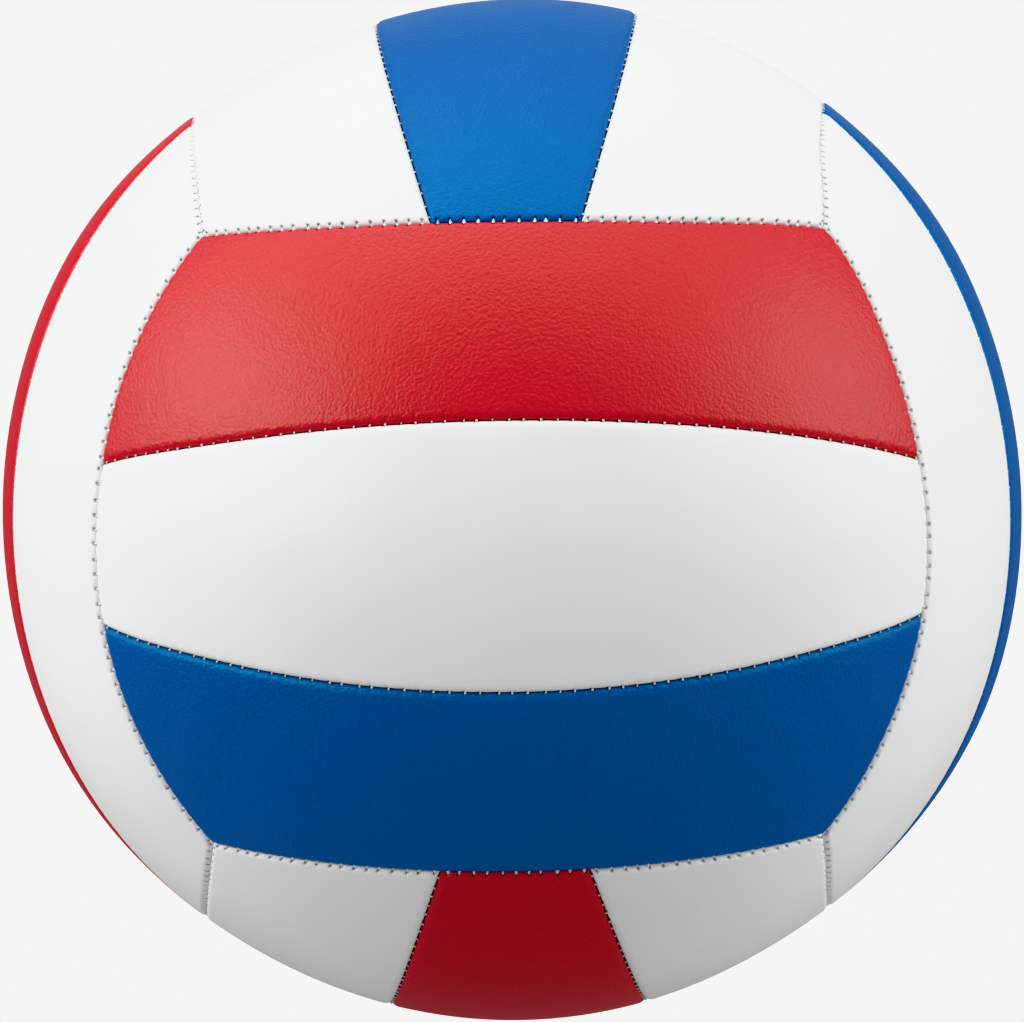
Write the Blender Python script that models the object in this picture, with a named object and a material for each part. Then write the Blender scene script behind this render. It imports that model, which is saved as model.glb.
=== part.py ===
"""Eighteen-panel stitched volleyball: cover panels, foam pads, seam thread, bladder and valve.

The ball is centred on the origin, +Z up, with its front face towards -Y and the valve in the middle
of the rear face, along +Y. All lengths are in metres. The eighteen strips lie in threes on the six
faces of a rounded cube, and the strips of neighbouring faces run at right angles.
"""

import math

import bmesh
import bpy
from mathutils import Matrix, Vector

# The ball and its strips. Widths are measured along the surface, from seam line to seam line.
BALL_CIRCUMFERENCE = 0.660
FACE_WIDTH = 0.1387
MIDDLE_STRIP_WIDTH = 0.0540
MIDDLE_STRIP_END_WIDTH = 0.0297

# Layers, from the outside in
COVER_THICKNESS = 0.0012
FOAM_THICKNESS = 0.0030
BLADDER_WALL = 0.0009
CLEARANCE = 0.0003

# Seams: two hems stand face to face, with the thread between them just under the folds
SEAM_DEPTH = 0.0018
SHOULDER_WIDTH = 0.0036
THREAD_DIAMETER = 0.0005

# Valve: a rubber housing bonded to the bladder, with a plug-like core that the needle goes through
VALVE_RECESS = 0.0013
VALVE_LENGTH = 0.0160
STEM_DIAMETER = 0.0100
CORE_DIAMETER = 0.0060
NEEDLE_HOLE_DIAMETER = 0.0014
FUNNEL_DIAMETER = 0.0030
FUNNEL_DEPTH = 0.0014
CORE_STOP_THICKNESS = 0.0012
CORE_STOP_HOLE_DIAMETER = 0.0030
FLANGE_DIAMETER = 0.0240
FLANGE_THICKNESS = 0.0012
VALVE_SEAT_DIAMETER = 0.0280

# Facets
CELLS_ALONG = 9
CELLS_ACROSS = 3
BLADDER_STEPS = 24
BLADDER_RINGS = 10
VALVE_STEPS = 24
SMOOTH_ANGLE = math.radians(40)

BALL_RADIUS = BALL_CIRCUMFERENCE / (2 * math.pi)
HALF_GAP = THREAD_DIAMETER / 2 + CLEARANCE
FOAM_DEPTH = COVER_THICKNESS + CLEARANCE
HEM_RADIUS = BALL_RADIUS - FOAM_DEPTH - FOAM_THICKNESS
THREAD_RADIUS = BALL_RADIUS - SEAM_DEPTH - THREAD_DIAMETER / 2
CROWN_INSET = HALF_GAP + SHOULDER_WIDTH
INNER_EDGE_DROP = SEAM_DEPTH / 3
FACE_ANGLE = FACE_WIDTH / 2 / BALL_RADIUS
STRIP_ANGLE = MIDDLE_STRIP_WIDTH / 2 / BALL_RADIUS
CORNER = 1 / math.sqrt(3)

RED = (0.560, 0.008, 0.019)
BLUE = (0.003, 0.081, 0.352)
WHITE = (0.810, 0.820, 0.815)
THREAD_WHITE = (0.780, 0.780, 0.740)
FOAM_CREAM = (0.720, 0.660, 0.520)
RUBBER_BLACK = (0.018, 0.018, 0.019)
CORE_GREY = (0.060, 0.060, 0.063)

# Each face: the direction its strips run, the direction across them, and its strips in that order
FACES = {
    "front": ((1, 0, 0), (0, 0, 1), {"lower": "blue", "middle": "white", "upper": "red"}),
    "rear": ((-1, 0, 0), (0, 0, 1), {"lower": "blue", "middle": "white", "upper": "red"}),
    "top": ((0, -1, 0), (1, 0, 0), {"left": "white", "middle": "blue", "right": "white"}),
    "bottom": ((0, 1, 0), (1, 0, 0), {"left": "white", "middle": "red", "right": "white"}),
    "left": ((0, 0, 1), (0, 1, 0), {"front": "white", "middle": "red", "back": "white"}),
    "right": ((0, 0, -1), (0, 1, 0), {"front": "white", "middle": "blue", "back": "white"}),
}
VALVE_PANEL = "rear_middle"


def clear_scene():
    for obj in list(bpy.data.objects):
        bpy.data.objects.remove(obj)


def material(name, colour, roughness):
    made = bpy.data.materials.new(name)
    made.use_nodes = True
    shader = made.node_tree.nodes["Principled BSDF"]
    shader.inputs["Base Color"].default_value = (*colour, 1)
    shader.inputs["Roughness"].default_value = roughness
    shader.inputs["Metallic"].default_value = 0
    return made


def add_object(name, data, finish):
    obj = bpy.data.objects.new(name, data)
    obj.data.materials.append(finish)
    bpy.context.scene.collection.objects.link(obj)
    return obj


def mesh_object(name, bm, finish):
    """A closed, smoothly shaded object made from a bmesh."""
    bmesh.ops.recalc_face_normals(bm, faces=bm.faces)
    mesh = bpy.data.meshes.new(name)
    bm.to_mesh(mesh)
    bm.free()
    mesh.shade_smooth()
    mesh.set_sharp_from_angle(angle=SMOOTH_ANGLE)
    return add_object(name, mesh, finish)


class Arc:
    """The arc through three points of the unit sphere, from 0 at its start to 1 at its end."""

    def __init__(self, start, middle, end):
        start, middle, end = Vector(start), Vector(middle), Vector(end)
        self.axis = (middle - start).cross(end - middle).normalized()
        self.centre = self.axis * self.axis.dot(start)
        self.spoke = start - self.centre
        self.sweep = self.spoke.angle(end - self.centre)
        self.length = self.spoke.length * self.sweep * BALL_RADIUS

    def at(self, share):
        return self.centre + Matrix.Rotation(self.sweep * share, 3, self.axis) @ self.spoke


def face_seam(along, across, normal):
    """The seam on the across side of a face, which bows towards the middle of that face."""
    middle = across * math.sin(FACE_ANGLE) + normal * math.cos(FACE_ANGLE)
    return Arc((across + normal - along) * CORNER, middle, (across + normal + along) * CORNER)


def end_seam(along, across, normal):
    """The seam where the strips of a face end, which is the side seam of the next face."""
    return face_seam(across, normal, along)


class Face:
    """The seams of one face: four along its strips, and one across their ends at each side."""

    def __init__(self, along, across):
        along, across = Vector(along), Vector(across)
        normal = along.cross(across)
        self.start = end_seam(-along, across, normal)
        self.end = end_seam(along, across, normal)
        half_end = MIDDLE_STRIP_END_WIDTH / 2 / self.end.length
        self.shares = [0, 0.5 - half_end, 0.5 + half_end, 1]
        self.seams = [
            face_seam(along, -across, normal),
            self.strip_seam(1, -across, normal),
            self.strip_seam(2, across, normal),
            face_seam(along, across, normal),
        ]

    def strip_seam(self, number, side, normal):
        middle = side * math.sin(STRIP_ANGLE) + normal * math.cos(STRIP_ANGLE)
        share = self.shares[number]
        return Arc(self.start.at(share), middle, self.end.at(share))


class Strip:
    """One panel's outline on the unit sphere, filled by blending between its four seams."""

    def __init__(self, face, number):
        self.face = face
        self.low, self.high = face.seams[number], face.seams[number + 1]
        self.shares = face.shares[number], face.shares[number + 1]

    def end_points(self, v):
        share = self.shares[0] + (self.shares[1] - self.shares[0]) * v
        return self.face.start.at(share), self.face.end.at(share)

    def direction(self, u, v):
        start, end = self.end_points(v)
        low_start, low_end = self.end_points(0)
        high_start, high_end = self.end_points(1)
        along = self.low.at(u).lerp(self.high.at(u), v)
        across = start.lerp(end, u)
        corners = low_start.lerp(low_end, u).lerp(high_start.lerp(high_end, u), v)
        return (along + across - corners).normalized()

    def length(self, v):
        return self.low.length + (self.high.length - self.low.length) * v

    def width(self, u):
        return self.low.at(u).angle(self.high.at(u)) * BALL_RADIUS


def stations(total, insets, cells):
    """Distances along a line of this length: the insets from each end, and the crown's own divisions."""
    crown = total - 2 * CROWN_INSET
    divisions = [CROWN_INSET + crown * step / cells for step in range(1, cells)]
    return [*insets, *divisions, *(total - inset for inset in reversed(insets))]


def rises(edge_rises, cells):
    return [*edge_rises, *[1] * (cells - 1), *reversed(edge_rises)]


def sheet(bm, strip, edge, crown_depth, edge_drop):
    """Adds one curved sheet of a panel and returns its border.

    The edge lists an inset from the seam line and a rise from 0 at the fold to 1 on the crown. The
    sheet lies crown_depth under the ball's surface, and edge_drop lower at the fold.
    """
    insets = [inset for inset, _ in edge]
    edge_rises = [rise for _, rise in edge]
    rise_along = rises(edge_rises, CELLS_ALONG)
    rise_across = rises(edge_rises, CELLS_ACROSS)
    mid_length = strip.length(0.5)
    rows = []
    for i, rise_u in enumerate(rise_along):
        row = []
        rough_u = stations(mid_length, insets, CELLS_ALONG)[i] / mid_length
        width = strip.width(rough_u)
        for distance, rise_v in zip(stations(width, insets, CELLS_ACROSS), rise_across):
            v = distance / width
            length = strip.length(v)
            u = stations(length, insets, CELLS_ALONG)[i] / length
            depth = crown_depth + edge_drop * (1 - rise_u * rise_v)
            row.append(bm.verts.new(strip.direction(u, v) * (BALL_RADIUS - depth)))
        rows.append(row)
    faces = []
    for row, following in zip(rows, rows[1:]):
        for j in range(len(row) - 1):
            faces.append(bm.faces.new((row[j], following[j], following[j + 1], row[j + 1])))
    return [edge for edge in {e for face in faces for e in face.edges} if edge.is_boundary]


def hem(bm, border):
    """Turns a sheet's border straight in towards the ball's middle and returns the new border."""
    made = bmesh.ops.extrude_edge_only(bm, edges=border)["geom"]
    for vert in (item for item in made if isinstance(item, bmesh.types.BMVert)):
        vert.co = vert.co.normalized() * HEM_RADIUS
    return [item for item in made if isinstance(item, bmesh.types.BMEdge) and item.is_boundary]


def shoulder():
    """The rounded outer edge of a cover panel: a quarter of an ellipse in two steps."""
    half_way = 0.25
    half_rise = math.sqrt(1 - (1 - half_way) ** 2)
    return [(HALF_GAP, 0), (HALF_GAP + SHOULDER_WIDTH * half_way, half_rise), (CROWN_INSET, 1)]


def cover_panel(name, strip, finish):
    """A leather panel as an upturned tray, with its edges turned in as hems."""
    bm = bmesh.new()
    outer = sheet(bm, strip, shoulder(), 0, SEAM_DEPTH)
    inner = sheet(bm, strip, [(HALF_GAP + COVER_THICKNESS, 0)], COVER_THICKNESS, INNER_EDGE_DROP)
    bmesh.ops.bridge_loops(bm, edges=hem(bm, outer) + hem(bm, inner))
    return mesh_object(f"cover_{name}", bm, finish)


def foam_pad(name, strip, finish):
    """The pad that fills a cover panel, level with the bottom of its hems."""
    edge = [(HALF_GAP + FOAM_DEPTH, 0)]
    bm = bmesh.new()
    outer = sheet(bm, strip, edge, FOAM_DEPTH, INNER_EDGE_DROP)
    inner = sheet(bm, strip, edge, FOAM_DEPTH + FOAM_THICKNESS, 0)
    bmesh.ops.bridge_loops(bm, edges=outer + inner)
    return mesh_object(f"foam_{name}", bm, finish)


def thread(name, directions, finish):
    """A thread that follows these directions at the depth of the seams."""
    curve = bpy.data.curves.new(name, "CURVE")
    curve.dimensions = "3D"
    curve.bevel_depth = THREAD_DIAMETER / 2
    curve.bevel_resolution = 0
    curve.use_fill_caps = True
    spline = curve.splines.new("POLY")
    spline.points.add(len(directions) - 1)
    for point, direction in zip(spline.points, directions):
        point.co = (*(direction * THREAD_RADIUS), 1)
    return add_object(name, curve, finish)


def seam_points(seam, start_inset, end_inset):
    """Directions along a seam, at the crown divisions of the panels beside it."""
    divisions = stations(seam.length, [], CELLS_ALONG)
    distances = [start_inset, CROWN_INSET, *divisions, seam.length - CROWN_INSET, seam.length - end_inset]
    return [seam.at(distance / seam.length) for distance in distances]


def strip_threads(face_name, face, names, finish):
    """The two threads that join the three strips of a face, each stopping short of the end seams."""
    stop = THREAD_DIAMETER + CLEARANCE
    for number, name in ((1, names[0]), (2, names[2])):
        thread(f"thread_{face_name}_{name}", seam_points(face.seams[number], stop, stop), finish)


def face_threads(finish):
    """Four threads that join the six faces, each one along three seams in turn.

    The first runs along the top, right and lower right of the front, and the others are its half
    turns about the three axes. At each corner one thread passes and another stops short.
    """
    x, y, z = Matrix.Identity(3)
    seams = [face_seam(x, z, -y), face_seam(-z, -y, x), face_seam(y, x, -z)]
    stop = THREAD_DIAMETER + 2 * CLEARANCE
    path = seam_points(seams[0], stop, 0)
    path += seam_points(seams[1], 0, 0)[1:]
    path += seam_points(seams[2], 0, stop)[1:]
    thread("face_thread_1", path, finish)
    for number, axis in enumerate((x, y, z), 2):
        turn = Matrix.Rotation(math.pi, 3, axis)
        thread(f"face_thread_{number}", [turn @ point for point in path], finish)


def turned(name, profile, steps, finish):
    """A closed body turned about the valve's axis, from (radius, distance from the centre) points."""
    bm = bmesh.new()
    verts = [bm.verts.new((radius, distance, 0)) for radius, distance in profile]
    edges = [bm.edges.new(pair) for pair in zip(verts, verts[1:] + verts[:1])]
    bmesh.ops.spin(bm, geom=verts + edges, axis=(0, 1, 0), cent=(0, 0, 0), angle=2 * math.pi,
                   steps=steps, use_merge=True)
    bmesh.ops.remove_doubles(bm, verts=bm.verts, dist=CLEARANCE / 100)
    bmesh.ops.dissolve_degenerate(bm, edges=bm.edges, dist=CLEARANCE / 100)
    return mesh_object(name, bm, finish)


def least_radius(pads):
    """How near the flat facets under the pads come to the ball's centre."""
    nearest = HEM_RADIUS
    for pad in pads:
        pad.data.calc_loop_triangles()
        for triangle in pad.data.loop_triangles:
            corners = [pad.data.vertices[index].co for index in triangle.vertices]
            if all(abs(corner.length - HEM_RADIUS) < CLEARANCE for corner in corners):
                nearest = min(nearest, abs(normal_of(*corners).dot(corners[0])))
    return nearest


def normal_of(a, b, c):
    return (b - a).cross(c - a).normalized()


def bladder(radius, finish):
    """A thin rubber sphere with a flat seat and a hole for the valve. Returns the seat's inner height."""
    seat_angle = math.asin(VALVE_SEAT_DIAMETER / 2 / radius)
    seat = radius * math.cos(seat_angle)
    hole = STEM_DIAMETER / 2 + CLEARANCE
    angles = [seat_angle + (math.pi - seat_angle) * ring / BLADDER_RINGS for ring in range(BLADDER_RINGS + 1)]

    def wall(r):
        return [(r * math.sin(angle), r * math.cos(angle)) for angle in angles[:-1]] + [(0, -r)]

    outer = [(hole, seat), *wall(radius)]
    inner = [(hole, seat - BLADDER_WALL), *wall(radius - BLADDER_WALL)]
    turned("bladder", outer + inner[::-1], BLADDER_STEPS, finish)
    return seat - BLADDER_WALL


def valve_housing(seat, finish):
    """A rubber tube, flanged under the bladder's seat, with a stop for the core at its inner end."""
    top = BALL_RADIUS - VALVE_RECESS
    end = top - VALVE_LENGTH
    flange_top = seat - CLEARANCE
    stem, bore = STEM_DIAMETER / 2, CORE_DIAMETER / 2 + CLEARANCE
    profile = [
        (bore, top),
        (stem, top),
        (stem, flange_top),
        (FLANGE_DIAMETER / 2, flange_top),
        (FLANGE_DIAMETER / 2, flange_top - FLANGE_THICKNESS),
        (stem, flange_top - FLANGE_THICKNESS),
        (stem, end),
        (CORE_STOP_HOLE_DIAMETER / 2, end),
        (CORE_STOP_HOLE_DIAMETER / 2, end + CORE_STOP_THICKNESS),
        (bore, end + CORE_STOP_THICKNESS),
    ]
    turned("valve_housing", profile, VALVE_STEPS, finish)


def valve_core(finish):
    """The plug in the housing, with a funnel that guides the needle into its hole."""
    top = BALL_RADIUS - VALVE_RECESS
    end = top - VALVE_LENGTH + CORE_STOP_THICKNESS + CLEARANCE
    profile = [
        (FUNNEL_DIAMETER / 2, top),
        (CORE_DIAMETER / 2, top),
        (CORE_DIAMETER / 2, end),
        (NEEDLE_HOLE_DIAMETER / 2, end),
        (NEEDLE_HOLE_DIAMETER / 2, top - FUNNEL_DEPTH),
    ]
    turned("valve_core", profile, VALVE_STEPS, finish)


def valve_cutter(finish):
    """A guide that cuts the hole for the valve's stem through the panel and its pad."""
    hole = STEM_DIAMETER / 2 + CLEARANCE
    inside, outside = HEM_RADIUS - FOAM_THICKNESS, BALL_RADIUS + FOAM_THICKNESS
    cutter = turned("valve_cutter", [(0, outside), (hole, outside), (hole, inside), (0, inside)],
                    VALVE_STEPS, finish)
    cutter.hide_render = True
    cutter.display_type = "WIRE"
    return cutter


def cut(obj, cutter):
    boolean = obj.modifiers.new("valve_hole", "BOOLEAN")
    boolean.operation = "DIFFERENCE"
    boolean.object = cutter


def main():
    clear_scene()
    covers = {
        "red": material("red_leather", RED, 0.45),
        "blue": material("blue_leather", BLUE, 0.45),
        "white": material("white_leather", WHITE, 0.45),
    }
    thread_finish = material("thread", THREAD_WHITE, 0.70)
    foam_finish = material("foam", FOAM_CREAM, 0.85)
    rubber = material("bladder_rubber", RUBBER_BLACK, 0.60)
    core_rubber = material("core_rubber", CORE_GREY, 0.55)

    cutter = valve_cutter(rubber)
    pads = []
    for face_name, (along, across, strips) in FACES.items():
        face = Face(along, across)
        for number, (strip_name, colour) in enumerate(strips.items()):
            strip = Strip(face, number)
            name = f"{face_name}_{strip_name}"
            cover = cover_panel(name, strip, covers[colour])
            pads.append(foam_pad(name, strip, foam_finish))
            if name == VALVE_PANEL:
                cut(cover, cutter)
                cut(pads[-1], cutter)
        strip_threads(face_name, face, list(strips), thread_finish)
    face_threads(thread_finish)
    seat = bladder(least_radius(pads) - CLEARANCE, rubber)
    valve_housing(seat, rubber)
    valve_core(core_rubber)


main()
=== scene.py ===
"""Looks of the eighteen-panel volleyball: stitched leather panels, seam thread, valve, light and camera.

All lengths are in metres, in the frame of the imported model: the ball is centred on the origin, +Z up,
with its front face towards -Y and its valve along +Y.
"""

import math
from typing import NamedTuple

import bmesh
import bpy
import numpy as np
from mathutils import Matrix, Vector

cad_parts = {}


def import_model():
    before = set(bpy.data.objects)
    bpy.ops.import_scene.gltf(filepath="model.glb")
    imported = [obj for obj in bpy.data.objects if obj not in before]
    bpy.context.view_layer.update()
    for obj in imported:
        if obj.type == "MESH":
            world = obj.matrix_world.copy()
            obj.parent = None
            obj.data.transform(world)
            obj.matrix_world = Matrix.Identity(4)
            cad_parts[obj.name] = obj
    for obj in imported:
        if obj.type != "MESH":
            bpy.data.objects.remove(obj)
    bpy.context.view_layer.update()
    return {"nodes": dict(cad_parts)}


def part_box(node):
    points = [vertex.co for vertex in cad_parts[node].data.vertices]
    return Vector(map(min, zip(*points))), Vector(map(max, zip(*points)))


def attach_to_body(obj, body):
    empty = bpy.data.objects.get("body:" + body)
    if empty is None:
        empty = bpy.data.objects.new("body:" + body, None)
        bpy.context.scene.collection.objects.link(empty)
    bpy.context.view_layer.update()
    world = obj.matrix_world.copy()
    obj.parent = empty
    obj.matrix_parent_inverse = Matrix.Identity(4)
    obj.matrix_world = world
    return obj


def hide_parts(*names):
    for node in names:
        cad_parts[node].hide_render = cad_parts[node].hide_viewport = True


# The ball and its strips. Widths are measured along the surface, from seam line to seam line.
CIRCUMFERENCE = 0.660
BALL_RADIUS = CIRCUMFERENCE / (2 * math.pi)
FACE_WIDTH = 0.1387
MIDDLE_STRIP_WIDTH = 0.0540
MIDDLE_STRIP_END_WIDTH = 0.0297
COVER_THICKNESS = 0.0012
HEM_DEPTH = 0.0045
HEM_RADIUS = BALL_RADIUS - HEM_DEPTH

# Panel edges: each rolls over a shoulder and goes straight in, face to face with its neighbour. Rows of
# points follow the edge at these distances from the fold, closest where the needle holes are.
MM_PER_METRE = 1000
HALF_GAP = 0.00005
SEAM_DEPTH = 0.0010
FACE_SHOULDER = 0.0015
STRIP_SHOULDER = 0.0018
SHOULDER_ROWS = np.array([0, 0.05, 0.12, 0.22, 0.34, 0.46, 0.57, 0.68, 0.79, 0.90, 1.04, 1.24, 1.50,
                          1.80]) / MM_PER_METRE
SHOULDER_STEPS = len(SHOULDER_ROWS) - 1
INNER_EDGE_DROP = 0.0006

# Stitches: each draws the two edges in a little, and no two are quite alike. Columns of points cross the
# edge at these distances from a stitch.
STRIP_PITCH = 0.0031
FACE_PITCH = 0.0027
PITCH_SPREAD = 0.12
STITCH_COLUMNS = np.array([-0.60, -0.42, -0.28, -0.14, 0, 0.14, 0.28, 0.42, 0.60]) / MM_PER_METRE
PUCKER_DEPTH = 0.00012
PUCKER_SPREAD = 0.0006
PUCKER_REACH = 0.0012
SLANT = 0.04
SLANT_SPREAD = 0.12
STRENGTH_SPREAD = 0.30

# Any numbers that turn a place on the ball into a steady random one, and a salt for each use
SCATTER_WEIGHTS = np.array([127.1, 311.7, 74.7])
SCATTER_SCALE = 4375.85
SLANT_SALT = 0
STRENGTH_SALT = 1
SPACING_SALT = 2

# Between the strips of a face the seam gapes, and a short rung of thread crosses it beside each notch
STRIP_OPENING = 0.00005
NOTCH_DEPTH = 0.00008
NOTCH_WIDTH = 0.00018
NOTCH_REACH = 0.0008
RUNG_RADIUS = 0.00018
RUNG_REACH = 0.00027
RUNG_DEPTH = 0.00042
RUNG_SINK = 0.00040
RUNG_SHIFT = 0.00030

# Between faces the seam is closed. A wedge of thread lies across it at each stitch, wide at the seam, and
# goes down a needle hole on either side.
HOLE_INSET = 0.00064
HOLE_RADIUS = 0.00030
HOLE_DEPTH = 0.0009
LOOP_REACH = 0.00056
LOOP_DEPTHS = (0.00092, 0.00026)
LOOP_RADII = (0.00041, 0.00008)
LOOP_SINK = 0.00020

# Each length of thread is a tube: rings of points, from one end at -1 to the other at 1
THREAD_RINGS = 13
THREAD_SIDES = 8
THREAD_SPREAD = np.linspace(-1, 1, THREAD_RINGS)

# Valve, in the middle of the rear face
VALVE_DROP = 0.0013
VALVE_TOP = BALL_RADIUS - VALVE_DROP
VALVE_LENGTH = 0.0160
STEM_RADIUS = 0.0050
CORE_RADIUS = 0.0030
CORE_CLEARANCE = 0.0003
CORE_STOP_THICKNESS = 0.0012
CORE_STOP_HOLE_RADIUS = 0.0015
NEEDLE_HOLE_RADIUS = 0.0007
FUNNEL_RADIUS = 0.0015
FUNNEL_DEPTH = 0.0014
FLANGE_RADIUS = 0.0120
FLANGE_THICKNESS = 0.0012
BLADDER_WALL = 0.0009
VALVE_EDGE = 0.0003
VALVE_EDGE_SEGMENTS = 3
VALVE_CREASE_ANGLE = math.radians(40)
VALVE_HOLE_RADIUS = 0.0053
VALVE_RIM_WIDTH = 0.0030
VALVE_RIM_DROP = 0.0006
VALVE_STEPS = 64

# This ball isn't quite even. Seams lie off their even places here and there on the front face: each entry
# is a place, in degrees to the right and up, and how far the seams there lie to the right and up.
SEAM_DRIFTS = (
    (-45, 35, 0.0000, 0.0005),
    (45, 35, 0.0027, 0.0004),
    (-52, 8, 0.0006, 0.0016),
    (52, 8, -0.0004, 0.0004),
    (-52, -8, 0.0002, -0.0016),
    (52, -8, 0.0002, -0.0014),
    (45, -35, 0.0012, 0.0000),
)
SEAM_DRIFT_REACH = 12

# It is a little out of round too: how far it swells at places round the middle, in degrees from the right
# over the top.
SWELLINGS = (
    (35, 0.0012),
    (58, 0.0009),
    (80, 0.0008),
    (117, -0.0009),
    (147, 0.0007),
    (210, 0.0007),
    (243, -0.0005),
    (300, -0.0009),
    (336, 0.0008),
)
SWELLING_REACH = 15

# Fineness of the crown, which is smooth between the edges, and rounds of finding a place on a panel
CROWN_MARGIN = 0.0025
CROWN_CELLS_ALONG = 48
CROWN_CELLS_ACROSS = 14
VALVE_BLOCK_CELLS = 3
PLACE_ROUNDS = 2

# Camera, from the seams in the photograph: its distance in ball radii, and its turns about the ball in
# radians
IMAGE_WIDTH = 1024
BALL_RADIUS_PIXELS = 509.5
CAMERA_RADII = 15.07
CAMERA_PITCH = 0.0876
CAMERA_ROLL = -0.0141
CAMERA_YAW = -0.0051
SENSOR_WIDTH = 36

# Light and stage


class SoftBox(NamedTuple):
    """A lamp that faces the ball. Its azimuth and elevation are in degrees, to the right of the front and
    up, and its power is in watts. A fill isn't reflected in the ball."""

    azimuth: float
    elevation: float
    power: float
    width: float = 0.9
    height: float = 0.9
    distance: float = 1.4
    reflected: bool = True


LIGHTS = {
    "left_box": SoftBox(-85, 15, 4.8),
    "left_front_box": SoftBox(-55, 20, 10.0),
    "left_upper_box": SoftBox(-90, 36, 4.7),
    "left_top_box": SoftBox(-90, 68, 2.9),
    "right_front_box": SoftBox(55, 24, 4.1),
    "right_box": SoftBox(85, 17, 7.6),
    "right_upper_box": SoftBox(80, 40, 0.8),
    "right_top_box": SoftBox(100, 47, 1.9),
    "top_box": SoftBox(0, 74, 15.5, width=1.7, height=1.5),
    "top_back_box": SoftBox(180, 60, 2.5, width=1.8, height=1.2),
    "back_box": SoftBox(180, 15, 0.5),
    "low_left_fill": SoftBox(-90, -50, 4.1, width=1.6, height=1.6, reflected=False),
    "low_front_fill": SoftBox(40, -55, 5.8, width=1.8, height=1.4, reflected=False),
    "low_right_fill": SoftBox(100, -20, 1.2, reflected=False),
    "right_low_front_fill": SoftBox(60, -10, 1.7, reflected=False),
    "top_back_fill": SoftBox(180, 60, 10.5, width=1.8, height=1.2, distance=1.5, reflected=False),
    "left_back_fill": SoftBox(-125, -15, 6.6, distance=1.5, reflected=False),
    "right_back_fill": SoftBox(125, -15, 5.9, distance=1.5, reflected=False),
}
SKY_STRENGTH = 0.19
BACKDROP_RADIUS = 30
BACKDROP_SEGMENTS = 32
BACKDROP_RINGS = 16
BACKDROP_COLOUR = (1.295, 1.295, 1.295, 1)

# Materials. Sizes are those of a texture's features, a relief is how strongly its bumps show, and shades
# and roughnesses are given for the low and high ends of a noise.
NOISE_RANGE = (0.3, 0.7)
NOISE_MIDDLE = (0.5, 0.5, 0.5)
PLAIN_DETAIL = 2
RICH_DETAIL = 3


class LeatherLook(NamedTuple):
    """One colour of leather: how strong its grain is, its gloss, and its sheen at a slant."""

    colour: tuple
    grain: float
    gloss: float
    gloss_tint: tuple = (1, 1, 1)
    sheen: float = 0
    sheen_tint: tuple = (1, 1, 1)


LEATHERS = {
    "red": LeatherLook((0.499, 0.007, 0.022), grain=0.9, gloss=0.53, gloss_tint=(1, 0.95, 0.77)),
    "blue": LeatherLook((0.001, 0.058, 0.300), grain=1.15, gloss=0.60, gloss_tint=(0.06, 0.94, 1),
                        sheen=0.07, sheen_tint=(0, 0.85, 1)),
    "white": LeatherLook((0.800, 0.810, 0.805), grain=0.05, gloss=0.34),
}
LEATHER_ROUGHNESSES = (0.30, 0.32)
SHEEN_ROUGHNESS = 0.5
PEBBLE_SIZE = 0.00075
WRINKLE_SIZE = 0.00035
WRINKLE_ROUGHNESS = 0.55
WRINKLE_DRIFT_SIZE = 0.0060
WRINKLE_DRIFT = 0.0012
GRAIN_DEPTH = 0.00010
GRAIN_HEIGHTS = (-0.2, 0.5)
GRAIN_SHADE = 0.05
MOTTLE_SIZE = 0.0150
MOTTLE_SHADES = (0.99, 1.01)
# Painted shade: between these depths the leather's colour darkens to this share of itself, standing in for
# the shade down in the seams
SEAM_PAINTED_SHADE_DEPTHS = (0.0009, 0.0024)
SEAM_PAINTED_SHADE = 0.35
# Painted shade: the needle holes are darkened to this share of the leather's colour, standing in for the
# shade inside them
HOLE_PAINTED_SHADE = 0.06

THREAD_WHITE = (0.660, 0.665, 0.670)
THREAD_ROUGHNESSES = (0.6, 0.8)
FIBRE_SIZE = 0.00012
FIBRE_DEPTH = 0.00006
FIBRE_RELIEF = 0.6
GRIME_SIZE = 0.0030
GRIME_SHADES = (0.86, 1)

RUBBER_BLACK = (0.018, 0.018, 0.019)
RUBBER_ROUGHNESS = 0.60
CORE_GREY = (0.060, 0.060, 0.063)
CORE_ROUGHNESS = 0.55
RUBBER_ROUGHNESS_SPREAD = 0.08
BLOOM_SIZE = 0.0040
BLOOM_DETAIL = 4
BLOOM_RANGE = (0.3, 0.75)
BLOOM_SHADES = (0.8, 1.6)
SKIN_SIZE = 0.00025
SKIN_DEPTH = 0.00005
SKIN_RELIEF = 0.35

FOAM_CREAM = (0.720, 0.660, 0.520)
FOAM_ROUGHNESSES = (0.85, 0.95)
CELL_SIZE = 0.0007
CELL_DEPTH = 0.00030
CELL_RELIEF = 0.8
PATCH_SIZE = 0.0100
PATCH_SHADES = (0.85, 1.05)

# Each face: the direction its strips run, the direction across them, and its strips' colours in that order
FACES = {
    "front": ((1, 0, 0), (0, 0, 1), {"lower": "blue", "middle": "white", "upper": "red"}),
    "rear": ((-1, 0, 0), (0, 0, 1), {"lower": "blue", "middle": "white", "upper": "red"}),
    "top": ((0, -1, 0), (1, 0, 0), {"left": "white", "middle": "blue", "right": "white"}),
    "bottom": ((0, 1, 0), (1, 0, 0), {"left": "white", "middle": "red", "right": "white"}),
    "left": ((0, 0, 1), (0, 1, 0), {"front": "white", "middle": "red", "back": "white"}),
    "right": ((0, 0, -1), (0, 1, 0), {"front": "white", "middle": "blue", "back": "white"}),
}
VALVE_PANEL = "rear_middle"
CORNER = 1 / math.sqrt(3)
FACE_ANGLE = FACE_WIDTH / 2 / BALL_RADIUS
STRIP_ANGLE = MIDDLE_STRIP_WIDTH / 2 / BALL_RADIUS


# The ball's surface


def unit(vectors):
    return vectors / np.linalg.norm(vectors, axis=-1, keepdims=True)


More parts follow.
